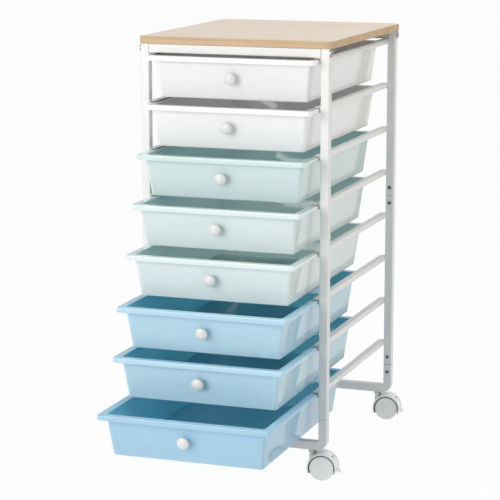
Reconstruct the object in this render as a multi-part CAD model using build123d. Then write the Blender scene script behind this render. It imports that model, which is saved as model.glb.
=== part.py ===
from build123d import *
from math import atan, cos, radians, sin, sqrt
import os

# Rolling drawer cart: wood-look top, white square-tube frame, eight plastic drawers, four twin-wheel casters.
# Millimetres, +Z up, drawers open towards -Y. The origin is on the floor, under the middle of the cart's box.

# Frame
frame_width = 337.0
frame_depth = 424.0
tube = 15.0
tube_wall = 1.2
tube_corner = 1.6
tube_end_chamfer = 0.5
caster_height = 51.0
leg_height = 55.5
leg_bend_radius = 10.0
drawers_per_ladder = 4
apron_rim_gap = 3.05
leg_tray_gap = 12.95

# Top board
board_thickness = 12.5
board_side_overhang = 5.5
board_end_overhang = 1.0
board_corner = 15.0
band_thickness = 2.0
band_edge_radius = 1.4

# Runners, bent channels that open towards the drawers
runner_width = 11.0
runner_height = 9.0
runner_sheet = 1.0
runner_front_setback = 1.0
runner_post_overlap = 8.0
runner_end_radius = 8.0
runner_stop_width = 5.0

# Drawer trays
tray_depth = 430.0
tray_height = 72.0
tray_stack_gap = 9.5
tray_wall = 1.8
tray_floor = 2.0
tray_corner = 5.5
tray_edge_radius = 2.5
side_taper = 8.0
end_lean = 12.0
rim_overhang = 12.0
rim_corner = 8.0
rim_flange = 2.0
rim_lip_wall = 1.6
rim_edge_radius = 1.8
mouth_edge_radius = 0.8
rim_side_gap = 1.2
rim_top_gap = 1.6
rim_slide_gap = 0.3
front_skirt = 8.2
skirt_wrap = 10.0

# How far the drawers stand out of the frame, and each one's share of that from the top down
longest_pull = 248.0
pull_shares = [0.097, 0.173, 0.286, 0.391, 0.496, 0.653, 0.730, 1.0]

# Knobs
knob_drop = 33.0
knob_diameter = 21.0
knob_length = 17.5
knob_neck = 8.0
knob_foot = 8.8
knob_foot_height = 1.5
knob_neck_length = 7.5
knob_edge_height = 11.0
knob_edge = 2.5
knob_edge_radius = 0.9
knob_screw_diameter = 4.0
knob_screw_grip = 8.0
knob_screw_head = 8.0
knob_screw_head_height = 2.0

# Fasteners
thread_gap = 0.05
hole_gap = 0.2
sleeve_gap = 0.1
sleeve_wall = 1.5
sleeve_length = 50.0
joint_screw_offset = 14.5
joint_screw_diameter = 3.5
joint_screw_head = 6.0
joint_screw_head_height = 1.6
joint_screw_grip = 6.0
bolt_diameter = 6.0
bolt_head = 13.0
bolt_head_height = 2.8
bolt_socket = 4.0
bolt_socket_depth = 1.8
apron_plug = 12.0
board_screw_diameter = 4.0
board_screw_head = 7.6
board_screw_head_height = 2.0
board_screw_grip = 9.0
board_screw_inset = 60.0

# Casters
stem_inset = 27.0
stem_diameter = 8.0
stem_thread_length = 11.0
stem_collar = 11.0
stem_collar_height = 1.5
stem_fit = 0.06
rivet_nut_diameter = 10.0
rivet_flange = 13.0
rivet_flange_height = 1.0
lock_nut_flats = 13.0
lock_nut_height = 4.0
collar_nut_gap = 2.8
caster_trail = 18.0
wheel_width = 9.8
wheel_edge = 1.6
wheel_rim = 4.5
wheel_face = 2.0
wheel_hub = 10.0
wheel_dish = 0.6
axle_diameter = 5.0
axle_fit = 0.06
axle_end_gap = 0.3
hood_web = 12.4
hood_wheel_gap = 0.8
hood_bar_gap = 4.0
hub_gap = 0.3
hood_radial_gap = 1.1
hood_shell = 3.4
hood_side_lip = 0.2
hood_skirt_drop = 9.0
hood_bore_depth = 18.0
hood_collar_gap = 0.2
hood_edge_radius = 1.2
lever_pivot_angle = 42.0
lever_slot_angle = 8.0
lever_side_gap = 0.4
lever_web_gap = 3.5
lever_thickness = 2.6
lever_bend_angle = 4.0
lever_tip_reach = 5.25
lever_tip_drop = 8.0
lever_pin = 2.0
lever_pin_fit = 0.08
lever_pin_bite = 3.0

# Rest angles of the casters, from +X towards +Y
caster_turns = {"front_left": 90.0, "front_right": 7.0, "rear_left": 173.0, "rear_right": 7.0}

# Worked-out heights, from the floor up: the lowest tray hangs over the leg bars, the top rim under the aprons
drawer_count = 2 * drawers_per_ladder
drawer_pitch = tray_height + tray_stack_gap
low_joint_z = caster_height + leg_height
mid_joint_z = low_joint_z + drawers_per_ladder * drawer_pitch
lowest_rim_z = caster_height + tube + leg_tray_gap + tray_height
frame_top_z = lowest_rim_z + (drawer_count - 1) * drawer_pitch + apron_rim_gap + tube

# Worked-out places in plan
post_x = frame_width / 2 - tube / 2
inner_x = frame_width / 2 - tube
front_post_y = tube / 2
rear_post_y = frame_depth - tube / 2
post_places = [(side, y) for side in (-1, 1) for y in (front_post_y, rear_post_y)]

# Worked-out runner and rim sizes
runner_front_y = runner_front_setback
runner_rear_y = frame_depth - tube + runner_post_overlap
rim_width = 2 * (inner_x - runner_sheet - rim_side_gap)
rim_lip = runner_height - 2 * runner_sheet - rim_top_gap - rim_slide_gap
mouth_width = rim_width - 2 * rim_overhang
mouth_depth = tray_depth - 2 * rim_overhang
lean_angle = atan(end_lean / tray_height)

parts = {}


def block(x_range, y_range, z_range):
    """Box between pairs of coordinates."""
    size = [max(r) - min(r) for r in (x_range, y_range, z_range)]
    middle = [(r[0] + r[1]) / 2 for r in (x_range, y_range, z_range)]
    return Pos(*middle) * Box(*size)


def rod(diameter, start, end):
    """Cylinder from one point to another."""
    path = Vector(*end) - Vector(*start)
    plane = Plane(origin=start, z_dir=path)
    return plane * extrude(Circle(diameter / 2), amount=path.length)


def hollow_square(outside, wall, corner):
    """Face of a square tube's wall."""
    return RectangleRounded(outside, outside, corner) - Rectangle(outside - 2 * wall, outside - 2 * wall)


def post_tube(x, y, z_low, z_high, ends):
    """Upright square tube; the ends named (0 low, -1 high) have eased outer edges."""
    shape = extrude(RectangleRounded(tube, tube, tube_corner), amount=z_high - z_low)
    for end in ends:
        shape = chamfer(shape.faces().sort_by(Axis.Z)[end].edges(), tube_end_chamfer)
    shape -= extrude(Rectangle(tube - 2 * tube_wall, tube - 2 * tube_wall), amount=z_high - z_low)
    return Pos(x, y, z_low) * shape


def rim_top_z(number):
    """Top of a drawer's rim, counted from the top drawer."""
    return lowest_rim_z + (drawer_count - number) * drawer_pitch


def runner_z(number):
    """Underside of the runners that hold a drawer's rim."""
    return rim_top_z(number) + rim_top_gap + runner_sheet - runner_height


def runner(side, number):
    """Channel along one side, with rounded inner rear corners and a stop tab at the back."""
    z_low = runner_z(number)
    z_high = z_low + runner_height
    length = (runner_front_y, runner_rear_y)
    shape = block((inner_x - runner_width, inner_x), length, (z_low, z_high))
    rear_edge = shape.edges().filter_by(Axis.Z).group_by(Axis.Y)[-1].sort_by(Axis.X)[0]
    shape = fillet(rear_edge, runner_end_radius)
    hollow_x = (inner_x - 2 * runner_width, inner_x - runner_sheet)
    hollow_y = (runner_front_y - runner_width, runner_rear_y + runner_width)
    shape -= block(hollow_x, hollow_y, (z_low + runner_sheet, z_high - runner_sheet))
    stop_x = (inner_x - runner_sheet - runner_stop_width, inner_x - runner_sheet)
    stop_y = (runner_rear_y - runner_sheet, runner_rear_y)
    shape += block(stop_x, stop_y, (z_low + runner_sheet, z_high - runner_sheet))
    return shape if side > 0 else mirror(shape, about=Plane.YZ)


def inward(y):
    """Direction along Y from a post into the cart."""
    return 1 if y < frame_depth / 2 else -1


def joint_screw_axis(side, y, z):
    """Seat of a joint screw on the inward face of a post, and its direction into the post."""
    direction = -inward(y)
    seat = (side * post_x, y - direction * tube / 2, z)
    return seat, direction


def joint_screw_hole(side, y, z, diameter):
    """Cutter for a joint screw, deep enough for the near walls of post and sleeve."""
    seat, direction = joint_screw_axis(side, y, z)
    inside = (seat[0], seat[1] + direction * tube / 2, z)
    outside = (seat[0], seat[1] - direction * tube_wall, z)
    return rod(diameter, outside, inside)


def bolt_z():
    """Height of the corner bolts, in the middle of the aprons."""
    return frame_top_z - tube / 2


def ladder(side, z_low, z_high, numbers):
    """Two posts and their runners, one welded piece, with its fastener holes."""
    shape = post_tube(side * post_x, front_post_y, z_low, z_high, (0, -1))
    shape += post_tube(side * post_x, rear_post_y, z_low, z_high, (0, -1))
    for number in numbers:
        shape += runner(side, number)
    for y in (front_post_y, rear_post_y):
        for z in (mid_joint_z, low_joint_z):
            for step in (-joint_screw_offset, joint_screw_offset):
                if z_low < z + step < z_high:
                    shape -= joint_screw_hole(side, y, z + step, joint_screw_diameter + 2 * hole_gap)
        if z_high == frame_top_z:
            outer = (side * (frame_width / 2 + tube_wall), y, bolt_z())
            shape -= rod(bolt_diameter + 2 * hole_gap, outer, (side * (inner_x - tube_wall), y, bolt_z()))
    return shape


def leg_bend(y):
    """Quarter turn of tube at the right-hand end of a leg bar."""
    turn = (post_x - leg_bend_radius, y, caster_height + tube / 2 + leg_bend_radius)
    start = Plane(origin=(turn[0], y, caster_height + tube / 2), x_dir=(0, 1, 0), z_dir=(1, 0, 0))
    section = start * hollow_square(tube, tube_wall, tube_corner)
    return revolve(section, axis=Axis(turn, (0, -1, 0)), revolution_arc=90)


def leg_frame(y):
    """Bent U tube across the cart, with holes for the rivet nuts and the joint screws."""
    bar_z = caster_height + tube / 2
    bar_end = post_x - leg_bend_radius
    section = Plane.YZ * hollow_square(tube, tube_wall, tube_corner)
    shape = Pos(-bar_end, y, bar_z) * extrude(section, amount=2 * bar_end)
    bend = leg_bend(y)
    shape += [bend, mirror(bend, about=Plane.YZ)]
    for side in (-1, 1):
        shape += post_tube(side * post_x, y, bar_z + leg_bend_radius, low_joint_z, (-1,))
        x = side * (frame_width / 2 - stem_inset)
        hole = rivet_nut_diameter + 2 * hole_gap
        shape -= rod(hole, (x, y, caster_height - tube_wall), (x, y, bar_z))
        screw_z = low_joint_z - joint_screw_offset
        shape -= joint_screw_hole(side, y, screw_z, joint_screw_diameter + 2 * hole_gap)
    return shape


def apron(y):
    """Square tube under the board, with threaded end plugs and screw holes."""
    section = Plane.YZ * hollow_square(tube, tube_wall, tube_corner)
    shape = Pos(-inner_x, y, bolt_z()) * extrude(section, amount=2 * inner_x)
    inside = tube - 2 * tube_wall
    for side in (-1, 1):
        plug = block((inner_x - apron_plug, inner_x), (y - inside / 2, y + inside / 2),
                     (bolt_z() - inside / 2, bolt_z() + inside / 2))
        plug_start = (inner_x - apron_plug, y, bolt_z())
        plug -= rod(bolt_diameter + 2 * thread_gap, plug_start, (inner_x, y, bolt_z()))
        shape += plug if side > 0 else mirror(plug, about=Plane.YZ)
        x = side * (inner_x - board_screw_inset)
        shape -= rod(board_screw_diameter + 2 * hole_gap, (x, y, bolt_z()), (x, y, frame_top_z + tube_wall))
        below = (x, y, frame_top_z - tube - tube_wall)
        shape -= rod(board_screw_head + 2 * hole_gap, below, (x, y, bolt_z()))
    return shape


def board_plan(inset):
    """Outline of the board, drawn in from its edge."""
    width = frame_width + 2 * board_side_overhang - 2 * inset
    depth = frame_depth + 2 * board_end_overhang - 2 * inset
    return Pos(0, frame_depth / 2, frame_top_z) * RectangleRounded(width, depth, board_corner - inset)


def board_screw_places():
    """Points on the frame's top where screws enter the board."""
    places = []
    for y in (front_post_y, rear_post_y):
        for side in (-1, 1):
            places.append((side * (inner_x - board_screw_inset), y))
    return places


def build_board():
    """Panel and the band glued round its edge."""
    panel = extrude(board_plan(band_thickness), amount=board_thickness)
    for x, y in board_screw_places():
        depth = board_screw_grip + hole_gap
        panel -= rod(board_screw_diameter + 2 * hole_gap, (x, y, frame_top_z), (x, y, frame_top_z + depth))
    parts["top_board"] = panel
    band = extrude(board_plan(0), amount=board_thickness)
    outline = band.edges().group_by(Axis.Z)
    band = fillet(outline[0] + outline[-1], band_edge_radius)
    parts["board_edge_band"] = band - extrude(board_plan(band_thickness), amount=board_thickness)


def build_frame():
    """Welded ladders, leg frames and aprons."""
    upper = range(1, drawers_per_ladder + 1)
    lower = range(drawers_per_ladder + 1, drawer_count + 1)
    for side, name in ((-1, "left"), (1, "right")):
        parts[name + "_upper_ladder"] = ladder(side, mid_joint_z, frame_top_z, upper)
        parts[name + "_lower_ladder"] = ladder(side, low_joint_z, mid_joint_z, lower)
    for y, name in ((front_post_y, "front"), (rear_post_y, "rear")):
        parts[name + "_leg_frame"] = leg_frame(y)
        parts[name + "_apron"] = apron(y)


def build_fasteners():
    """Sleeves and screws of the tube joints, corner bolts and board screws."""
    sleeves = []
    screws = []
    bolts = []
    sleeve_side = tube - 2 * tube_wall - 2 * sleeve_gap
    sleeve_face = Rectangle(sleeve_side, sleeve_side)
    sleeve_face -= Rectangle(sleeve_side - 2 * sleeve_wall, sleeve_side - 2 * sleeve_wall)
    for side, y in post_places:
        for z in (mid_joint_z, low_joint_z):
            sleeve = Pos(side * post_x, y, z - sleeve_length / 2) * extrude(sleeve_face, amount=sleeve_length)
            for step in (-joint_screw_offset, joint_screw_offset):
                sleeve -= joint_screw_hole(side, y, z + step, joint_screw_diameter + 2 * thread_gap)
                seat, direction = joint_screw_axis(side, y, z + step)
                tip = (seat[0], seat[1] + direction * joint_screw_grip, seat[2])
                crown = (seat[0], seat[1] - direction * joint_screw_head_height, seat[2])
                screws.append(rod(joint_screw_diameter, seat, tip) + rod(joint_screw_head, seat, crown))
            sleeves.append(sleeve)
        bolts.append(corner_bolt(side, y))
    parts["joint_sleeves"] = Compound(children=sleeves)
    parts["joint_screws"] = Compound(children=screws)
    parts["corner_bolts"] = Compound(children=bolts)
    board_screws = []
    for x, y in board_screw_places():
        seat = (x, y, frame_top_z - tube_wall)
        crown = (x, y, seat[2] - board_screw_head_height)
        tip = (x, y, frame_top_z + board_screw_grip)
        board_screws.append(rod(board_screw_diameter, seat, tip) + rod(board_screw_head, seat, crown))
    parts["board_screws"] = Compound(children=board_screws)


def corner_bolt(side, y):
    """Flat round-headed bolt with a hex socket, through a post into an apron's end."""
    seat = (side * frame_width / 2, y, bolt_z())
    crown = (side * (frame_width / 2 + bolt_head_height), y, bolt_z())
    head = rod(bolt_head, seat, crown)
    head = chamfer(head.faces().sort_by(Axis.X)[-1 if side > 0 else 0].edges(), bolt_head_height / 3)
    socket_plane = Plane(origin=crown, z_dir=(-side, 0, 0))
    hexagon = RegularPolygon(bolt_socket / 2, 6, major_radius=False)
    head -= socket_plane * extrude(hexagon, amount=bolt_socket_depth)
    return head + rod(bolt_diameter, seat, (side * (inner_x - apron_plug), y, bolt_z()))


def tray_body(drop, inset):
    """Tapered solid from the rim's top down, drawn in by the wall; both tapers hold at any depth."""
    share = drop / tray_height
    half_x = mouth_width / 2 - inset
    half_y = mouth_depth / 2 - inset
    low_x = half_x - side_taper * share
    low_y = half_y - end_lean * share
    across = make_face(Polyline((-low_x, -drop), (low_x, -drop), (half_x, 0), (-half_x, 0), close=True))
    along = make_face(Polyline((-low_y, -drop), (low_y, -drop), (half_y, 0), (-half_y, 0), close=True))
    shape = extrude(Plane.XZ * across, amount=tray_depth, both=True)
    shape &= extrude(Plane.YZ * along, amount=rim_width, both=True)
    upright = [edge for edge in shape.edges() if abs((edge @ 1 - edge @ 0).Z) > drop / 2]
    shape = fillet(upright, tray_corner - inset)
    shape = fillet(shape.edges().group_by(Axis.Z)[0], tray_edge_radius - inset)
    return Pos(0, tray_depth / 2, 0) * shape


def rim_ring(inset):
    """Plan of the rim's outside, drawn in."""
    plan = RectangleRounded(rim_width - 2 * inset, tray_depth - 2 * inset, rim_corner - inset)
    return Pos(0, tray_depth / 2, 0) * plan


def knob_plane():
    """Seat of the knob on the leaning front wall, pointing out of the drawer."""
    wall_y = rim_overhang + end_lean * knob_drop / tray_height
    outward = (0, -cos(lean_angle), -sin(lean_angle))
    return Plane(origin=(0, wall_y, -knob_drop), x_dir=(1, 0, 0), z_dir=outward)


def build_tray():
    """Tapered tray with a rim that turns down; origin at the middle of the rim's front edge, on its top."""
    rim = extrude(rim_ring(0), amount=-rim_lip)
    rim = fillet(rim.edges().group_by(Axis.Z)[-1], rim_edge_radius)
    rim -= Pos(0, 0, -rim_flange) * extrude(rim_ring(rim_lip_wall), amount=-rim_lip)
    front_zone = block((-rim_width, rim_width), (-skirt_wrap, skirt_wrap), (-front_skirt, -rim_flange))
    skirt = extrude(rim_ring(0) - rim_ring(rim_lip_wall), amount=-front_skirt) & front_zone
    shape = tray_body(tray_height, 0) + rim + skirt
    shape -= tray_body(tray_height - tray_floor, tray_wall)
    mouth = shape.faces().filter_by(Plane.XY).sort_by(Axis.Z)[-1].inner_wires()[0]
    shape = fillet(mouth.edges(), mouth_edge_radius)
    bore = extrude(Circle(knob_screw_diameter / 2 + hole_gap), amount=tray_wall, both=True)
    return shape - knob_plane() * bore


def build_knob():
    """Turned knob: foot, waisted neck and domed head."""
    foot = knob_foot / 2
    neck = knob_neck / 2
    head = knob_diameter / 2
    stem_line = Polyline((0, 0), (foot, 0), (neck, knob_foot_height), (neck, knob_neck_length))
    under = ThreePointArc((neck, knob_neck_length), ((neck + head) / 2, knob_neck_length + knob_edge / 2),
                          (head, knob_edge_height))
    side_line = Line((head, knob_edge_height), (head, knob_edge_height + knob_edge))
    dome_rise = knob_length - knob_edge_height - knob_edge
    dome_radius = (head ** 2 + dome_rise ** 2) / (2 * dome_rise)
    dome_middle = (head / 2, knob_length - dome_radius + sqrt(dome_radius ** 2 - head ** 2 / 4))
    dome = ThreePointArc((head, knob_edge_height + knob_edge), dome_middle, (0, knob_length))
    axis_line = Line((0, knob_length), (0, 0))
    outline = make_face([stem_line, under, side_line, dome, axis_line])
    outline = fillet(outline.vertices().group_by(Axis.X)[-1], knob_edge_radius)
    shape = revolve(Plane.XZ * outline, axis=Axis.Z)
    bore_depth = knob_screw_grip + thread_gap
    shape -= extrude(Circle(knob_screw_diameter / 2 + thread_gap), amount=bore_depth)
    return knob_plane() * shape


def build_knob_screw():
    """Screw through the front wall into the knob."""
    seat = -tray_wall * cos(lean_angle)
    shank = rod(knob_screw_diameter, (0, 0, seat), (0, 0, knob_screw_grip))
    head = rod(knob_screw_head, (0, 0, seat), (0, 0, seat - knob_screw_head_height))
    return knob_plane() * (shank + head)


def build_drawers():
    """Eight drawers, each at its own pull."""
    pieces = {"tray": build_tray(), "knob": build_knob(), "knob_screw": build_knob_screw()}
    for number, share in enumerate(pull_shares, start=1):
        for name, shape in pieces.items():
            parts["drawer_%d_%s" % (number, name)] = Pos(0, -share * longest_pull, rim_top_z(number)) * shape


# Casters are drawn with the stem's axis at X=0, Y=0 and the wheels trailing towards +X.
# The hood fills the height under the leg bar but for its gap, and the wheels fill the hood.
wheel_diameter = caster_height - hood_bar_gap - hood_shell - hood_radial_gap
axle_z = wheel_diameter / 2
lock_nut_z = caster_height - rivet_flange_height - lock_nut_height
hood_boss_top = lock_nut_z - collar_nut_gap - stem_collar_height - hood_collar_gap
hood_bore_bottom = hood_boss_top - hood_bore_depth
wheel_inner_y = hood_web / 2 + hood_wheel_gap
hood_inner_radius = wheel_diameter / 2 + hood_radial_gap
hood_outer_radius = hood_inner_radius + hood_shell
hood_half_width = wheel_inner_y + wheel_width + hood_side_lip
lever_half_width = hood_web / 2 + hood_wheel_gap - lever_side_gap / 2


def around_axle(radius, half_width):
    """Solid disc about the axle."""
    start = (caster_trail, -half_width, axle_z)
    return rod(2 * radius, start, (caster_trail, half_width, axle_z))


def polar(radius, angle):
    """Point about the axle in the caster's side view."""
    return (caster_trail + radius * cos(radians(angle)), axle_z + radius * sin(radians(angle)))


def side_prism(outline, half_width):
    """Side-view outline given width both ways from the caster's middle."""
    return extrude(Plane.XZ * outline, amount=half_width, both=True)


def wedge(radius_in, radius_out, angle_low, angle_high):
    """Ring sector about the axle in the side view."""
    middle = (angle_low + angle_high) / 2
    outer = ThreePointArc(polar(radius_out, angle_low), polar(radius_out, middle),
                          polar(radius_out, angle_high))
    inner = ThreePointArc(polar(radius_in, angle_high), polar(radius_in, middle), polar(radius_in, angle_low))
    low = Line(polar(radius_in, angle_low), polar(radius_out, angle_low))
    high = Line(polar(radius_out, angle_high), polar(radius_in, angle_high))
    return make_face([low, outer, high, inner])


def lever_pivot():
    """Middle of the lever's pin in the side view."""
    return polar((hood_inner_radius + hood_outer_radius) / 2, lever_pivot_angle)


def caster_hood():
    """Fender over both wheels, a web between them, and the boss that swivels on the stem."""
    reach = hood_outer_radius + caster_trail
    shape = around_axle(hood_outer_radius, hood_half_width)
    shape = fillet(shape.edges().filter_by(GeomType.CIRCLE), hood_edge_radius)
    shape -= around_axle(hood_inner_radius, 2 * hood_half_width)
    shape += around_axle(hood_inner_radius + hood_shell / 2, hood_web / 2)
    lower_edge = axle_z - hood_skirt_drop
    shape += rod(hood_web, (0, 0, lower_edge), (0, 0, hood_boss_top))
    keep_z = (lower_edge, hood_boss_top + hood_outer_radius)
    shape &= block((-reach, 2 * reach), (-reach, reach), keep_z)
    shape -= rod(stem_diameter + 2 * stem_fit, (0, 0, hood_bore_bottom), (0, 0, hood_boss_top + hood_shell))
    spot = stem_collar + 2 * hood_wheel_gap
    shape -= rod(spot, (0, 0, hood_boss_top), (0, 0, hood_boss_top + hood_outer_radius))
    shape -= around_axle(axle_diameter / 2 + thread_gap, hood_half_width)
    slot_high = lever_pivot_angle + lever_slot_angle
    slot = wedge(hood_inner_radius - lever_web_gap, 2 * hood_outer_radius, -90, slot_high)
    shape -= side_prism(slot, lever_half_width + lever_side_gap)
    x, z = lever_pivot()
    bite = lever_half_width + lever_side_gap + lever_pin_bite
    return shape - rod(lever_pin + 2 * lever_pin_fit, (x, -bite, z), (x, bite, z))


def brake_lever():
    """Pedal let into the back of the hood, with its pivot pin."""
    radius_out = (hood_inner_radius + hood_outer_radius + lever_thickness) / 2
    radius_in = radius_out - lever_thickness
    shape = side_prism(wedge(radius_in, radius_out, lever_bend_angle, lever_pivot_angle), lever_half_width)
    tip = (caster_trail + hood_outer_radius + lever_tip_reach, axle_z - lever_tip_drop)
    root_in = polar(radius_in, lever_bend_angle)
    root_out = polar(radius_out, lever_bend_angle)
    tip_in = (tip[0] - lever_thickness, tip[1])
    tongue = make_face(Polyline(root_in, root_out, tip, tip_in, close=True))
    shape += side_prism(tongue, lever_half_width)
    x, z = lever_pivot()
    shape += rod(lever_thickness, (x, -lever_half_width, z), (x, lever_half_width, z))
    bite = lever_half_width + lever_side_gap + lever_pin_bite - axle_end_gap
    return shape + rod(lever_pin, (x, -bite, z), (x, bite, z))


def caster_wheel():
    """Dished wheel with a rounded tread, a blind bore and a hub, on the +Y side of the hood."""
    radius = wheel_diameter / 2
    outer = wheel_inner_y + wheel_width
    hub = wheel_hub / 2
    hub_y = hood_web / 2 + hub_gap
    bore = axle_diameter / 2 + axle_fit
    dish_radius = radius - wheel_rim
    inner_face = outer - wheel_face - wheel_dish
    profile = Polyline((bore, hub_y), (hub, hub_y), (hub, inner_face), (radius - wheel_rim, inner_face),
                       (radius - wheel_rim, wheel_inner_y), (radius, wheel_inner_y), (radius, outer),
                       (dish_radius + wheel_dish, outer), (dish_radius, outer - wheel_dish),
                       (0, outer - wheel_dish),
                       (0, inner_face), (bore, inner_face), close=True)
    outline = make_face(profile)
    tread = outline.vertices().group_by(Axis.X)[-1]
    outline = fillet(tread, wheel_edge)
    shape = revolve(outline, axis=Axis.Y)
    return Pos(caster_trail, 0, axle_z) * shape


def wheel_axle():
    """Pin through the hood's web into both wheels' blind bores."""
    half = wheel_inner_y + wheel_width - wheel_face - wheel_dish - axle_end_gap
    return around_axle(axle_diameter / 2, half)


def caster_stem():
    """Stem fixed in the leg bar, with the collar that the hood turns under."""
    collar_z = hood_boss_top + hood_collar_gap
    top = caster_height + stem_thread_length
    shape = rod(stem_diameter, (0, 0, hood_bore_bottom + hood_collar_gap), (0, 0, top))
    return shape + rod(stem_collar, (0, 0, collar_z), (0, 0, collar_z + stem_collar_height))


def stem_nuts():
    """Rivet nut set in the leg bar, and the lock nut under it."""
    bore = stem_diameter + 2 * thread_gap
    flange_z = lock_nut_z + lock_nut_height
    rivet = rod(rivet_nut_diameter, (0, 0, flange_z), (0, 0, caster_height + stem_thread_length))
    rivet += rod(rivet_flange, (0, 0, flange_z), (0, 0, caster_height))
    rivet -= rod(bore, (0, 0, flange_z), (0, 0, caster_height + stem_thread_length))
    nut = Pos(0, 0, flange_z) * extrude(RegularPolygon(lock_nut_flats / 2, 6, major_radius=False),
                                        amount=-lock_nut_height)
    nut -= rod(bore, (0, 0, lock_nut_z), (0, 0, flange_z))
    return [rivet, nut]


def build_casters():
    """Four casters, wheels trailing outwards; stems and nuts stay with the frame."""
    stems = []
    nuts = []
    near_wheel = caster_wheel()
    pieces = {"hood": caster_hood(), "axle": wheel_axle(), "brake_lever": brake_lever(),
              "wheel_1": near_wheel, "wheel_2": mirror(near_wheel, about=Plane.XZ)}
    for side, y in post_places:
        corner = "%s_%s" % ("front" if y == front_post_y else "rear", "left" if side < 0 else "right")
        seat = Pos(side * (frame_width / 2 - stem_inset), y, 0)
        for piece, shape in pieces.items():
            parts["%s_caster_%s" % (corner, piece)] = seat * Rot(0, 0, caster_turns[corner]) * shape
        stems.append(seat * caster_stem())
        nuts.extend(seat * nut for nut in stem_nuts())
    parts["caster_stems"] = Compound(children=stems)
    parts["caster_nuts"] = Compound(children=nuts)


def write_parts():
    """Shift the cart so that its box stands centred on the origin, and write one file per node."""
    os.makedirs("parts", exist_ok=True)
    boxes = [shape.bounding_box() for shape in parts.values()]
    middle_x = (min(b.min.X for b in boxes) + max(b.max.X for b in boxes)) / 2
    middle_y = (min(b.min.Y for b in boxes) + max(b.max.Y for b in boxes)) / 2
    floor_z = min(b.min.Z for b in boxes)
    for name, shape in parts.items():
        export_step(Pos(-middle_x, -middle_y, -floor_z) * shape, "parts/%s.step" % name)


build_board()
build_frame()
build_fasteners()
build_drawers()
build_casters()
write_parts()
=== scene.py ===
import bpy
from math import atan, cos, pi, radians, sin
from mathutils import Matrix, Vector


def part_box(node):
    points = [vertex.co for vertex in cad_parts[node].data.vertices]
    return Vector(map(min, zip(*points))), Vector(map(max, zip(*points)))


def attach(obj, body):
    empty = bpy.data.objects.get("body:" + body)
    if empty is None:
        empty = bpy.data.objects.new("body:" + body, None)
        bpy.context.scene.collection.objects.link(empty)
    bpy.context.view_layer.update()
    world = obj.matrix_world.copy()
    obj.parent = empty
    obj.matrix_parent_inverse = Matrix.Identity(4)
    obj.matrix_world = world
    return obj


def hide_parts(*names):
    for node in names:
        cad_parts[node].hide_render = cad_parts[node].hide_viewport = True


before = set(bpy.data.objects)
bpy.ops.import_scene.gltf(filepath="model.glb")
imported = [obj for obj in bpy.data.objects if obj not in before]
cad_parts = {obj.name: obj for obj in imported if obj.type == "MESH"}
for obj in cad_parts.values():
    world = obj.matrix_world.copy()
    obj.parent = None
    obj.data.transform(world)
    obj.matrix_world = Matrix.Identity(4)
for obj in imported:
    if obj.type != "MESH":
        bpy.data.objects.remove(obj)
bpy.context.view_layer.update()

# Places taken from the frame, in metres
APRON_LOW, APRON_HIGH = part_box("front_apron")
LADDER_LOW, LADDER_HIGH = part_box("right_upper_ladder")
TUBE = APRON_HIGH.z - APRON_LOW.z
LOW_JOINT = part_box("left_lower_ladder")[0].z
MID_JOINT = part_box("left_upper_ladder")[0].z
BOARD_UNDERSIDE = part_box("top_board")[0].z
APRON_END = APRON_HIGH.x
POST_FRONT = APRON_LOW.y
POST_X = LADDER_HIGH.x - TUBE / 2
FRONT_SEAT_Y = LADDER_LOW.y + TUBE
REAR_SEAT_Y = LADDER_HIGH.y - TUBE
CORNERS = ("front_left", "front_right", "rear_left", "rear_right")
DRAWERS = range(1, 9)

# Lean of a tray's front wall, from its height and how far its top stands out
TRAY_HEIGHT = 0.072
TRAY_END_LEAN = 0.012
WALL_LEAN = atan(TRAY_END_LEAN / TRAY_HEIGHT)

# Marks in the finishes, lengths in metres: post joint lines (the middle ones drawn stronger on the rear
# posts as painted shade), painted shade in the recess round the caster wheels, and painted shade that
# deepens the colour on the tray insides
JOINT_GREY = (0.30, 0.32, 0.32)
JOINT_STRENGTH = 0.7
JOINT_GROOVE = 0.0007
JOINT_FADE = 0.05
# Painted shade in the recess round the caster wheels: its grey, its strength and its extent
RECESS_SHADE_GREY = (0.04, 0.04, 0.04)
RECESS_SHADE_STRENGTH = 0.9
RECESS_REACH = 0.0021
RECESS_FADE = 0.0003
RECESS_START = 0.007
RECESS_FULL = 0.008
INSIDE_FADE = 0.003
SOAK_DEPTH = 0.009

# Joint screws, knob screws and weld beads, in metres
JOINT_SCREW = {"head": 0.006, "head_height": 0.0016, "shank": 0.0035, "grip": 0.006}
JOINT_SCREW_OFFSET = 0.0145
KNOB_SCREW = {"head": 0.008, "head_height": 0.002, "shank": 0.004, "grip": 0.0097}
BEAD_RADIUS = 0.0013
BEAD_RIPPLE = 0.0017
BEAD_RIPPLES = 4
BEAD_DROP = 0.006
BEAD_SINK = 0.0003
BEAD_OFF_POST = 0.0002

# The camera, as fitted to the photograph
CAMERA_TURN = radians(19.56)
CAMERA_DOWN = radians(10.87)
CAMERA_PLACE = Vector((1.1329, POST_FRONT - 3.1057, 1.0266))
FOCAL_PIXELS = 1969.0
PICTURE_PIXELS = 500.0
SENSOR_WIDTH = 36.0


# Shader nodes
def feed(tree, socket, value):
    """Link a socket to another one, or set it to a plain value."""
    if isinstance(value, bpy.types.NodeSocket):
        tree.links.new(value, socket)
    else:
        socket.default_value = value


def math_node(tree, operation, *values, clamp=False):
    """Math node; each value is a number or a socket."""
    node = tree.nodes.new("ShaderNodeMath")
    node.operation = operation
    node.use_clamp = clamp
    for socket, value in zip(node.inputs, values):
        feed(tree, socket, value)
    return node.outputs[0]


def vector_node(tree, operation, first, second=(0.0, 0.0, 0.0)):
    """Vector Math node; a length or dot product comes back as a number."""
    node = tree.nodes.new("ShaderNodeVectorMath")
    node.operation = operation
    for socket, value in zip(node.inputs, (first, second)):
        feed(tree, socket, value)
    return node.outputs["Value" if operation in ("LENGTH", "DOT_PRODUCT") else "Vector"]


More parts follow.
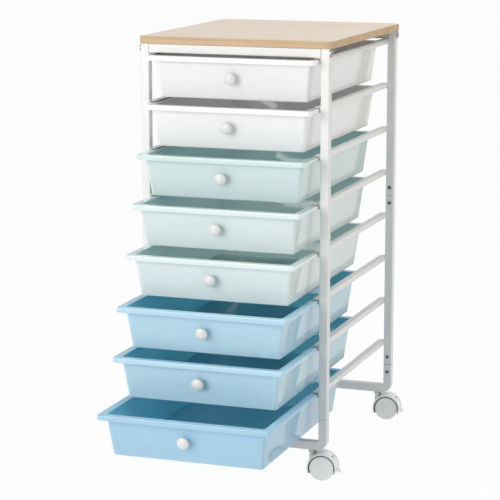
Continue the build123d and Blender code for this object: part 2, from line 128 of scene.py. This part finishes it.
def colour_mix(tree, blend, factor, first, second):
    """Mix node on its colour sockets, which are its inputs 6 and 7 and its output 2."""
    node = tree.nodes.new("ShaderNodeMix")
    node.data_type = "RGBA"
    node.blend_type = blend
    for number, value in ((0, factor), (6, first), (7, second)):
        feed(tree, node.inputs[number], value)
    return node.outputs[2]


def spread(tree, value, low, high, to_low, to_high):
    """Map Range from one span to another, held at the ends."""
    node = tree.nodes.new("ShaderNodeMapRange")
    spans = {"Value": value, "From Min": low, "From Max": high, "To Min": to_low, "To Max": to_high}
    for name, number in spans.items():
        feed(tree, node.inputs[name], number)
    return node.outputs["Result"]


def object_place(tree):
    """Object coordinates of a point on the surface."""
    return tree.nodes.new("ShaderNodeTexCoord").outputs["Object"]


def object_axis(tree, axis):
    """One axis of the Object coordinates."""
    split = tree.nodes.new("ShaderNodeSeparateXYZ")
    tree.links.new(object_place(tree), split.inputs[0])
    return split.outputs[axis]


def object_noise(tree, scale, detail, roughness=0.5, stretch=(1.0, 1.0, 1.0)):
    """Noise on Object coordinates, drawn out along an axis by a small factor there."""
    drawn_out = tree.nodes.new("ShaderNodeMapping")
    drawn_out.inputs["Scale"].default_value = stretch
    tree.links.new(object_place(tree), drawn_out.inputs["Vector"])
    noise = tree.nodes.new("ShaderNodeTexNoise")
    feed(tree, noise.inputs["Vector"], drawn_out.outputs["Vector"])
    feed(tree, noise.inputs["Scale"], scale)
    feed(tree, noise.inputs["Detail"], detail)
    feed(tree, noise.inputs["Roughness"], roughness)
    return noise.outputs["Fac"]


def near_plane(tree, axis, place, reach):
    """Mask that is 1 near a plane across one axis, and for X near its mirror image too."""
    along = object_axis(tree, axis)
    if axis == "X":
        along = math_node(tree, "ABSOLUTE", along)
    away = math_node(tree, "ABSOLUTE", math_node(tree, "SUBTRACT", along, place))
    return spread(tree, away, 0.5 * reach, reach, 1.0, 0.0)


# Shared shader groups
def start_group(name, inputs, outputs):
    """Empty shader group with its sockets; inputs are (name, kind, default)."""
    group = bpy.data.node_groups.new(name, "ShaderNodeTree")
    for socket_name, kind, default in inputs:
        socket = group.interface.new_socket(name=socket_name, in_out="INPUT", socket_type=kind)
        socket.default_value = default
    for socket_name, kind in outputs:
        group.interface.new_socket(name=socket_name, in_out="OUTPUT", socket_type=kind)
    inlet = group.nodes.new("NodeGroupInput")
    outlet = group.nodes.new("NodeGroupOutput")
    return group, inlet, outlet


def make_skin_group():
    """Slightly uneven moulded or sprayed skin: tone, sheen and fine surface texture."""
    group, inlet, outlet = start_group(
        "uneven_skin",
        [("Colour", "NodeSocketColor", (1, 1, 1, 1)), ("Tone Change", "NodeSocketFloat", 0.04),
         ("Texture Scale", "NodeSocketFloat", 700.0), ("Sheen Low", "NodeSocketFloat", 0.25),
         ("Sheen High", "NodeSocketFloat", 0.35)],
        [("Colour", "NodeSocketColor"), ("Roughness", "NodeSocketFloat"), ("Height", "NodeSocketFloat")])
    broad = object_noise(group, scale=5.0, detail=2.0)
    fine = object_noise(group, inlet.outputs["Texture Scale"], detail=2.0)
    darkest = math_node(group, "SUBTRACT", 1.0, inlet.outputs["Tone Change"])
    tone = spread(group, broad, 0.1, 0.9, 1.0, darkest)
    grey = group.nodes.new("ShaderNodeCombineColor")
    for name in ("Red", "Green", "Blue"):
        group.links.new(tone, grey.inputs[name])
    colour = colour_mix(group, "MULTIPLY", 1.0, inlet.outputs["Colour"], grey.outputs["Color"])
    sheen = spread(group, broad, 0.1, 0.9, inlet.outputs["Sheen Low"], inlet.outputs["Sheen High"])
    group.links.new(colour, outlet.inputs["Colour"])
    group.links.new(sheen, outlet.inputs["Roughness"])
    group.links.new(fine, outlet.inputs["Height"])
    return group


def make_grain_group():
    """Long wood grain across the board's width: broad bands, dark streaks and short pores."""
    group, inlet, outlet = start_group(
        "wood_grain",
        [("Pale", "NodeSocketColor", (1, 1, 1, 1)), ("Dark", "NodeSocketColor", (0.5, 0.4, 0.3, 1)),
         ("Strength", "NodeSocketFloat", 0.5)],
        [("Colour", "NodeSocketColor"), ("Height", "NodeSocketFloat")])
    bands = object_noise(group, scale=14.0, detail=4.0, roughness=0.6, stretch=(0.14, 1.0, 1.0))
    streaks = object_noise(group, scale=160.0, detail=3.0, roughness=0.6, stretch=(0.035, 1.0, 1.0))
    pores = object_noise(group, scale=620.0, detail=2.0, stretch=(0.05, 1.0, 1.0))
    band_mask = spread(group, bands, 0.35, 0.7, 0.0, 0.55)
    streak_mask = spread(group, streaks, 0.42, 0.72, 0.0, 0.75)
    pore_mask = spread(group, pores, 0.6, 0.72, 0.0, 0.45)
    together = math_node(group, "ADD", math_node(group, "ADD", band_mask, streak_mask), pore_mask)
    factor = math_node(group, "MULTIPLY", together, inlet.outputs["Strength"], clamp=True)
    colour = colour_mix(group, "MIX", factor, inlet.outputs["Pale"], inlet.outputs["Dark"])
    group.links.new(colour, outlet.inputs["Colour"])
    group.links.new(math_node(group, "SUBTRACT", 1.0, pore_mask), outlet.inputs["Height"])
    return group


skin_group = make_skin_group()
grain_group = make_grain_group()


# Finishes
def start_finish(name, specular):
    """New material with its main shader."""
    finish = bpy.data.materials.new(name)
    finish.use_nodes = True
    shader = finish.node_tree.nodes["Principled BSDF"]
    shader.inputs["Specular IOR Level"].default_value = specular
    return finish, finish.node_tree, shader


def add_bump(tree, shader, height, strength, distance):
    """Bump from a height socket."""
    bump = tree.nodes.new("ShaderNodeBump")
    bump.inputs["Strength"].default_value = strength
    bump.inputs["Distance"].default_value = distance
    tree.links.new(height, bump.inputs["Height"])
    tree.links.new(bump.outputs["Normal"], shader.inputs["Normal"])


def tint_where(finish, mask, colour, blend="MIX"):
    """Blend a colour into a finish's own colour where the mask is 1."""
    tree = finish.node_tree
    base = tree.nodes["Principled BSDF"].inputs["Base Color"]
    own_colour = base.links[0].from_socket
    tree.links.new(colour_mix(tree, blend, mask, own_colour, (*colour, 1.0)), base)


def skin_finish(name, colour, tone, scale, sheen, bump, soak=0.0, specular=0.5, metal=False):
    """Plastic, paint or plate with the uneven skin; soak is how much light passes into a plastic."""
    finish, tree, shader = start_finish(name, specular)
    if metal:
        shader.inputs["Metallic"].default_value = 1.0
    if soak:
        shader.inputs["Subsurface Weight"].default_value = soak
        shader.inputs["Subsurface Radius"].default_value = [(1.0 + part) / 2 for part in colour]
        shader.inputs["Subsurface Scale"].default_value = SOAK_DEPTH
    skin = tree.nodes.new("ShaderNodeGroup")
    skin.node_tree = skin_group
    skin.inputs["Colour"].default_value = (*colour, 1.0)
    skin.inputs["Tone Change"].default_value = tone
    skin.inputs["Texture Scale"].default_value = scale
    skin.inputs["Sheen Low"].default_value = sheen[0]
    skin.inputs["Sheen High"].default_value = sheen[1]
    tree.links.new(skin.outputs["Colour"], shader.inputs["Base Color"])
    tree.links.new(skin.outputs["Roughness"], shader.inputs["Roughness"])
    add_bump(tree, shader, skin.outputs["Height"], bump, distance=0.0004)
    return finish


def wood_finish(name, pale, dark, strength, roughness, specular):
    """Wood-look foil."""
    finish, tree, shader = start_finish(name, specular)
    shader.inputs["Roughness"].default_value = roughness
    grain = tree.nodes.new("ShaderNodeGroup")
    grain.node_tree = grain_group
    grain.inputs["Pale"].default_value = (*pale, 1.0)
    grain.inputs["Dark"].default_value = (*dark, 1.0)
    grain.inputs["Strength"].default_value = strength
    tree.links.new(grain.outputs["Colour"], shader.inputs["Base Color"])
    add_bump(tree, shader, grain.outputs["Height"], strength=0.12, distance=0.0003)
    return finish


def add_joint_lines(finish):
    """Grey lines in the grooves where the posts are joined, and where the aprons meet the posts; the
    middle lines are drawn stronger on the rear posts as painted shade, where those posts lie in the
    cart's shade.
    """
    tree = finish.node_tree
    # Painted shade: the middle joint lines grow stronger towards the rear posts, which lie in shade
    rear_painted_shade = spread(tree, object_axis(tree, "Y"), -JOINT_FADE, JOINT_FADE, 0.25, 0.8)
    middle = near_plane(tree, "Z", MID_JOINT, JOINT_GROOVE)
    middle = math_node(tree, "MULTIPLY", middle, rear_painted_shade)
    low = near_plane(tree, "Z", LOW_JOINT, JOINT_GROOVE)
    ends = near_plane(tree, "X", APRON_END, JOINT_GROOVE)
    apron_height = near_plane(tree, "Z", BOARD_UNDERSIDE - TUBE / 2, TUBE)
    ends = math_node(tree, "MULTIPLY", ends, apron_height)
    lines = math_node(tree, "MAXIMUM", math_node(tree, "MAXIMUM", low, middle), ends)
    tint_where(finish, math_node(tree, "MULTIPLY", lines, JOINT_STRENGTH), JOINT_GREY)


def box_centre(name):
    """Middle of a node's box."""
    low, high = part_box(name)
    return (low + high) / 2


def paint_wheel_recess_shade(finish, corner):
    """Painted shade: darkens the hood's inner wall round the two wheels of a caster, up to the rounded
    edge of its hood, where the gap falls in shadow.
    """
    tree = finish.node_tree
    first = box_centre(f"{corner}_caster_wheel_1")
    second = box_centre(f"{corner}_caster_wheel_2")
    axle = (first - second).normalized()
    away = vector_node(tree, "SUBTRACT", object_place(tree), (first + second) / 2)
    radius = vector_node(tree, "LENGTH", vector_node(tree, "CROSS_PRODUCT", away, axle))
    along = math_node(tree, "ABSOLUTE", vector_node(tree, "DOT_PRODUCT", away, axle))
    edge = first.z + RECESS_REACH
    inside = spread(tree, radius, edge - RECESS_FADE, edge + RECESS_FADE, RECESS_SHADE_STRENGTH, 0.0)
    beside = spread(tree, along, RECESS_START, RECESS_FULL, 0.0, 1.0)
    # Painted shade: the dark grey goes where the gap between wheel and hood lies in shadow
    tint_where(finish, math_node(tree, "MULTIPLY", inside, beside), RECESS_SHADE_GREY)


def hood_plastic(corner):
    """White moulded plastic of one caster's hood, with painted shade in the recess round its wheels."""
    finish = skin_finish(
        f"{corner}_hood_plastic", (0.94, 0.945, 0.94),
        tone=0.02, scale=800.0, sheen=(0.34, 0.40), bump=0.04)
    paint_wheel_recess_shade(finish, corner)
    return finish


def drawer_plastic(tray, colour, inside_painted_shade, soak):
    """Glossy plastic that lets some light through, with painted shade: a deeper, more saturated tint on
    the faces inside the tray, standing in for the shaded light that bounces in there.
    """
    finish = skin_finish(
        f"{tray}_plastic", colour,
        tone=0.015, scale=650.0, sheen=(0.035, 0.06), bump=0.006, soak=soak, specular=0.45)
    tree = finish.node_tree
    surface = tree.nodes.new("ShaderNodeTexCoord").outputs
    outwards = vector_node(tree, "SUBTRACT", surface["Object"], box_centre(tray))
    facing = vector_node(tree, "DOT_PRODUCT", outwards, surface["Normal"])
    inside = spread(tree, facing, -INSIDE_FADE, 0.0, 1.0, 0.0)
    # Painted shade: multiply the deeper tint into the faces that look into the tray
    tint_where(finish, inside, inside_painted_shade, "MULTIPLY")
    return finish


powder_coat = skin_finish(
    "white_powder_coat", (0.785, 0.79, 0.78),
    tone=0.02, scale=900.0, sheen=(0.32, 0.38), bump=0.05)
add_joint_lines(powder_coat)
bolt_zinc = skin_finish(
    "bolt_zinc", (0.42, 0.43, 0.43),
    tone=0.1, scale=500.0, sheen=(0.30, 0.42), bump=0.05, metal=True)
screw_zinc = skin_finish(
    "dark_screw_zinc", (0.16, 0.165, 0.17),
    tone=0.15, scale=500.0, sheen=(0.34, 0.46), bump=0.05, metal=True)
zinc_plate = skin_finish(
    "zinc_plate", (0.74, 0.745, 0.735),
    tone=0.12, scale=400.0, sheen=(0.36, 0.50), bump=0.06, metal=True)
wheel_plastic = skin_finish(
    "pale_wheel_plastic", (0.93, 0.935, 0.915),
    tone=0.02, scale=600.0, sheen=(0.40, 0.48), bump=0.05)
lever_plastic = skin_finish(
    "white_lever_plastic", (0.94, 0.945, 0.94),
    tone=0.02, scale=800.0, sheen=(0.34, 0.40), bump=0.04)
knob_plastic = skin_finish(
    "white_knob_plastic", (0.73, 0.735, 0.732),
    tone=0.02, scale=700.0, sheen=(0.16, 0.22), bump=0.02)
board_foil = wood_finish(
    "pale_board_foil", (0.83, 0.73, 0.62), (0.70, 0.585, 0.465),
    strength=0.5, roughness=0.42, specular=0.4)
edge_foil = wood_finish(
    "board_edge_foil", (0.645, 0.475, 0.31), (0.48, 0.325, 0.19),
    strength=0.7, roughness=0.6, specular=0.12)
hood_plastics = {f"{corner}_caster_hood": hood_plastic(corner) for corner in CORNERS}

# Colour, painted-shade tint inside and soak of each drawer's plastic, from the top drawer down; drawers
# 5, 7 and 8 take lighter and darker copies of the mint and the blue as painted light and shade
WHITE = ((0.945, 0.945, 0.95), (1.0, 1.0, 0.99), 0.4)
DEEP_MINT = ((0.64, 0.81, 0.80), (0.83, 1.0, 0.985), 0.7)
MINT = ((0.75, 0.885, 0.88), (0.80, 1.0, 0.985), 0.7)
# Painted light: a lighter copy of the mint for drawer 5, which gets less light than drawer 4
MINT_PAINTED_LIGHTER = ((0.78, 0.92, 0.915), (0.77, 0.97, 0.95), 0.7)
BLUE = ((0.455, 0.68, 0.86), (0.52, 0.88, 0.88), 0.7)
# Painted light: a lighter copy of the blue for drawer 7, which gets less light than drawers 6 and 8
BLUE_PAINTED_LIGHTER = ((0.48, 0.715, 0.90), (0.50, 0.88, 0.92), 0.7)
# Painted shade: a darker copy of the blue for drawer 8, which gets more light from the floor
BLUE_PAINTED_DARKER = ((0.375, 0.58, 0.755), (0.72, 1.06, 1.06), 0.7)
DRAWER_PLASTICS = (WHITE, WHITE, DEEP_MINT, MINT, MINT_PAINTED_LIGHTER, BLUE, BLUE_PAINTED_LIGHTER, BLUE_PAINTED_DARKER)
drawer_plastics = {}
for number, plastic in zip(DRAWERS, DRAWER_PLASTICS):
    tray = f"drawer_{number}_tray"
    drawer_plastics[tray] = drawer_plastic(tray, *plastic)


def finish_for(name):
    """Finish of a CAD node by its name."""
    if name == "top_board":
        return board_foil
    if name == "board_edge_band":
        return edge_foil
    if name in ("corner_bolts", "caster_nuts"):
        return bolt_zinc
    if name in ("joint_sleeves", "joint_screws", "board_screws", "caster_stems"):
        return zinc_plate
    if name.endswith(("_knob_screw", "_axle")):
        return zinc_plate
    if name.endswith("_knob"):
        return knob_plastic
    if name.endswith("_tray"):
        return drawer_plastics[name]
    if name.endswith("_hood"):
        return hood_plastics[name]
    if name.endswith("_brake_lever"):
        return lever_plastic
    if "_wheel_" in name:
        return wheel_plastic
    return powder_coat


for node_name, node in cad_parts.items():
    node.data.materials.clear()
    node.data.materials.append(finish_for(node_name))


# Modelling by hand
def start_selection(select_mode):
    """Enter and leave edit mode with nothing selected, ready to select by faces or edges."""
    bpy.context.tool_settings.mesh_select_mode = select_mode
    bpy.ops.object.mode_set(mode="EDIT")
    bpy.ops.mesh.select_all(action="DESELECT")
    bpy.ops.object.mode_set(mode="OBJECT")


def select_faces(piece, wanted):
    """Enter edit mode with only the wanted faces selected."""
    start_selection((False, False, True))
    for face in piece.data.polygons:
        face.select = wanted(face)
    bpy.ops.object.mode_set(mode="EDIT")


def select_edges(piece, wanted):
    """Enter edit mode with only the edges selected whose two ends are both wanted."""
    start_selection((False, True, False))
    points = piece.data.vertices
    for edge in piece.data.edges:
        edge.select = all(wanted(points[index].co) for index in edge.vertices)
    bpy.ops.object.mode_set(mode="EDIT")


def extrude(x, y, z):
    """Extrude the selected faces by a step."""
    bpy.ops.mesh.extrude_region_move(TRANSFORM_OT_translate={"value": (x, y, z)})


def scale_flat(size, centre=(0, 0, 0)):
    """Scale what is selected in x and y."""
    bpy.ops.transform.resize(value=(size, size, 1), center_override=centre)


def start_cylinder(name, radius, height, sides):
    """Cylinder that stands on the origin, with nothing else selected."""
    bpy.ops.object.select_all(action="DESELECT")
    bpy.ops.mesh.primitive_cylinder_add(
        vertices=sides, radius=radius, depth=height, location=(0, 0, height / 2))
    bpy.ops.object.transform_apply(location=True)
    piece = bpy.context.object
    piece.name = name
    return piece


def finish_shape(piece, smooth_angle):
    """Leave edit mode with clean normals and soft shading on the round faces."""
    bpy.ops.object.mode_set(mode="EDIT")
    bpy.ops.mesh.select_all(action="SELECT")
    bpy.ops.mesh.remove_doubles(threshold=0.000001)
    bpy.ops.mesh.normals_make_consistent(inside=False)
    bpy.ops.object.mode_set(mode="OBJECT")
    bpy.ops.object.shade_smooth_by_angle(angle=radians(smooth_angle))


def set_out(pattern, name, places):
    """One piece made of copies of a pattern, one at each place."""
    copies = []
    for place in places:
        mesh = pattern.data.copy()
        mesh.transform(place)
        copy = bpy.data.objects.new(name, mesh)
        bpy.context.scene.collection.objects.link(copy)
        copies.append(copy)
    bpy.ops.object.select_all(action="DESELECT")
    for copy in copies:
        copy.select_set(True)
    bpy.context.view_layer.objects.active = copies[0]
    if len(copies) > 1:
        bpy.ops.object.join()
    copies[0].name = name
    return copies[0]


# Small pieces
def cross_cutter(reach, width, depth, top):
    """Plus-shaped cutter for a cross recess, narrower at the bottom."""
    bpy.ops.object.select_all(action="DESELECT")
    bpy.ops.mesh.primitive_cube_add(size=width, location=(0, 0, top))
    bpy.ops.object.transform_apply(location=True)
    cutter = bpy.context.object
    bpy.ops.object.mode_set(mode="EDIT")
    bpy.ops.transform.resize(value=(1, 1, 2 * depth / width), center_override=(0, 0, top))
    bpy.ops.object.mode_set(mode="OBJECT")
    step = (reach - width) / 2
    for x, y in ((1, 0), (-1, 0), (0, 1), (0, -1)):
        way = Vector((x, y, 0))
        select_faces(
            cutter,
            lambda face: face.normal.dot(way) > 0.9 and face.center.dot(way) > 0.4 * width)
        extrude(x * step, y * step, 0)
        bpy.ops.object.mode_set(mode="OBJECT")
    select_faces(cutter, lambda face: face.normal.z < -0.9)
    scale_flat(0.6, (0, 0, top))
    bpy.ops.object.mode_set(mode="OBJECT")
    return cutter


def cut_away(piece, cutter):
    """Take a cutter's shape out of a piece."""
    bpy.ops.object.select_all(action="DESELECT")
    piece.select_set(True)
    bpy.context.view_layer.objects.active = piece
    cut = piece.modifiers.new("recess", "BOOLEAN")
    cut.object = cutter
    cut.operation = "DIFFERENCE"
    cut.solver = "EXACT"
    bpy.ops.object.modifier_apply(modifier=cut.name)
    bpy.data.objects.remove(cutter, do_unlink=True)


def make_cross_screw(name, head, head_height, shank, grip):
    """Pan-head screw with a cross recess: seat at the origin, head up, pointed shank down."""
    piece = start_cylinder(name, head / 2, head_height, sides=32)
    select_faces(piece, lambda face: face.normal.z < -0.9)
    bpy.ops.mesh.inset(thickness=(head - shank) / 2)
    extrude(0, 0, -0.8 * grip)
    extrude(0, 0, -0.2 * grip)
    scale_flat(0.35, (0, 0, -grip))
    bpy.ops.object.mode_set(mode="OBJECT")
    select_edges(piece, lambda point: point.z > 0.99 * head_height)
    bpy.ops.mesh.bevel(offset=0.45 * head_height, segments=4, affect="EDGES")
    bpy.ops.object.mode_set(mode="OBJECT")
    cut_away(piece, cross_cutter(0.62 * head, 0.2 * head, 0.6 * head_height, head_height))
    finish_shape(piece, smooth_angle=35)
    return piece


def make_weld_bead(name, radius, ripple, ripples):
    """Upright weld bead: a row of overlapping ripples, closed at both ends."""
    end_size, waist = 0.6, 0.8
    piece = start_cylinder(name, end_size * radius, 0.3 * ripple, sides=10)
    select_faces(piece, lambda face: face.normal.z > 0.9)
    swell = 1 / end_size
    for _ in range(ripples):
        for share, size in ((0.35, swell), (0.4, waist), (0.25, 1.0)):
            extrude(0, 0, share * ripple)
            scale_flat(size)
        swell = 1 / waist
    extrude(0, 0, 0.3 * ripple)
    scale_flat(end_size)
    bpy.ops.object.mode_set(mode="OBJECT")
    finish_shape(piece, smooth_angle=60)
    return piece


def add_joint_screws():
    """Dark cross-head screws beside each post joint, on the faces that look into the cart."""
    pattern = make_cross_screw("joint_screw_pattern", **JOINT_SCREW)
    places = []
    for x in (-POST_X, POST_X):
        for y, turn in ((FRONT_SEAT_Y, -pi / 2), (REAR_SEAT_Y, pi / 2)):
            for joint in (LOW_JOINT, MID_JOINT):
                for step in (-JOINT_SCREW_OFFSET, JOINT_SCREW_OFFSET):
                    seat = Matrix.Translation((x, y, joint + step)) @ Matrix.Rotation(turn, 4, "X")
                    driven = 0.4 + 40 * step + 3 * x
                    places.append(seat @ Matrix.Rotation(driven, 4, "Z"))
    screws = set_out(pattern, "joint_screw_set", places)
    bpy.data.objects.remove(pattern, do_unlink=True)
    screws.data.materials.append(screw_zinc)
    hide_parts("joint_screws")
    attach(screws, "frame")


def add_knob_screws():
    """Cross-head screw of each knob, seated on the inside of the leaning front wall."""
    pattern = make_cross_screw("knob_screw_pattern", **KNOB_SCREW)
    # From the middle of the leaning head to the far corner of its box, and from its seat to its top
    head_reach = KNOB_SCREW["head"] / 2 * Vector((0, sin(WALL_LEAN), cos(WALL_LEAN)))
    head_rise = KNOB_SCREW["head_height"] * Vector((0, cos(WALL_LEAN), sin(WALL_LEAN)))
    for number in DRAWERS:
        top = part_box(f"drawer_{number}_knob_screw")[1]
        seat = Vector((0, top.y, top.z)) - head_reach - head_rise
        driven = 0.7 * number
        lean = Matrix.Rotation(WALL_LEAN - pi / 2, 4, "X") @ Matrix.Rotation(driven, 4, "Z")
        screw = set_out(pattern, f"drawer_{number}_cross_screw", [Matrix.Translation(seat) @ lean])
        screw.data.materials.append(zinc_plate)
        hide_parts(f"drawer_{number}_knob_screw")
        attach(screw, f"drawer_{number}")
    bpy.data.objects.remove(pattern, do_unlink=True)


def add_runner_welds():
    """Painted weld beads where the runners pass the inner edges of the posts."""
    pattern = make_weld_bead("weld_pattern", BEAD_RADIUS, BEAD_RIPPLE, BEAD_RIPPLES)
    bead_x = POST_X - TUBE / 2 + BEAD_SINK
    places = []
    for number in DRAWERS:
        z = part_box(f"drawer_{number}_tray")[1].z - BEAD_DROP
        for x in (-bead_x, bead_x):
            for y in (FRONT_SEAT_Y + BEAD_OFF_POST, REAR_SEAT_Y - BEAD_OFF_POST):
                places.append(Matrix.Translation((x, y, z)))
    welds = set_out(pattern, "runner_welds", places)
    bpy.data.objects.remove(pattern, do_unlink=True)
    welds.data.materials.append(powder_coat)
    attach(welds, "frame")


add_joint_screws()
add_knob_screws()
add_runner_welds()


# Floor
FLOOR_SIZE = 60.0
FLOOR_PAINT = (0.88, 0.88, 0.88, 1.0)
FLOOR_WHITE_SHARE = 0.95


def make_floor():
    """Wide pale floor that shows white to the camera and keeps a soft shadow."""
    bpy.ops.object.select_all(action="DESELECT")
    bpy.ops.mesh.primitive_plane_add(size=FLOOR_SIZE, location=(0, 0, 0))
    floor = bpy.context.object
    floor.name = "pale_floor"
    finish = bpy.data.materials.new("pale_floor_paint")
    finish.use_nodes = True
    tree = finish.node_tree
    tree.nodes.clear()
    output = tree.nodes.new("ShaderNodeOutputMaterial")
    matt = tree.nodes.new("ShaderNodeBsdfDiffuse")
    matt.inputs["Color"].default_value = FLOOR_PAINT
    glow = tree.nodes.new("ShaderNodeEmission")
    glow.inputs["Color"].default_value = (1.0, 1.0, 1.0, 1.0)
    glow.inputs["Strength"].default_value = 1.0
    rays = tree.nodes.new("ShaderNodeLightPath").outputs
    seen = math_node(tree, "MAXIMUM", rays["Is Camera Ray"], rays["Is Glossy Ray"])
    seen = math_node(tree, "MAXIMUM", seen, rays["Is Transmission Ray"])
    white_share = math_node(tree, "MULTIPLY", seen, FLOOR_WHITE_SHARE)
    blend = tree.nodes.new("ShaderNodeMixShader")
    tree.links.new(white_share, blend.inputs[0])
    tree.links.new(matt.outputs[0], blend.inputs[1])
    tree.links.new(glow.outputs[0], blend.inputs[2])
    tree.links.new(blend.outputs[0], output.inputs["Surface"])
    floor.data.materials.append(finish)


make_floor()


# Light
def add_softbox(name, place, target, size, energy, colour=(1.0, 1.0, 1.0)):
    """Area lamp that looks at a point; size is its width and height."""
    lamp = bpy.data.lights.new(name, "AREA")
    lamp.shape = "RECTANGLE"
    lamp.size, lamp.size_y = size
    lamp.energy = energy
    lamp.color = colour
    box = bpy.data.objects.new(name, lamp)
    bpy.context.scene.collection.objects.link(box)
    box.location = place
    box.rotation_euler = (Vector(target) - Vector(place)).to_track_quat("-Z", "Y").to_euler()


add_softbox("key_softbox", (-1.7, -4.3, 1.6), (0.0, 0.0, 0.4), size=(2.9, 2.6), energy=119.0)
add_softbox(
    "right_softbox", (2.1, 0.35, 1.4), (0.0, 0.1, 0.35),
    size=(1.2, 1.2), energy=9.0, colour=(1.0, 0.96, 0.87))
add_softbox("top_softbox", (0.2, 0.2, 2.6), (0.0, 0.0, 0.0), size=(1.6, 1.6), energy=14.0)

world = bpy.data.worlds.new("studio_room")
bpy.context.scene.world = world
world.use_nodes = True
room = world.node_tree.nodes["Background"]
room.inputs["Color"].default_value = (1.0, 0.995, 0.985, 1.0)
room.inputs["Strength"].default_value = 0.56


# Camera
def add_camera():
    """Camera at the photograph's place: turned to the right of the front, looking slightly down."""
    look = Vector((
        -sin(CAMERA_TURN) * cos(CAMERA_DOWN), cos(CAMERA_TURN) * cos(CAMERA_DOWN), -sin(CAMERA_DOWN)))
    right = Vector((cos(CAMERA_TURN), sin(CAMERA_TURN), 0.0))
    up = right.cross(look)
    lens = bpy.data.cameras.new("photo_camera")
    lens.sensor_width = SENSOR_WIDTH
    lens.lens = FOCAL_PIXELS / PICTURE_PIXELS * SENSOR_WIDTH
    lens.clip_end = 100.0
    camera = bpy.data.objects.new("photo_camera", lens)
    bpy.context.scene.collection.objects.link(camera)
    pose = Matrix((right, up, -look)).transposed().to_4x4()
    pose.translation = CAMERA_PLACE
    camera.matrix_world = pose
    bpy.context.scene.camera = camera


add_camera()
bpy.context.scene.view_settings.view_transform = "Standard"
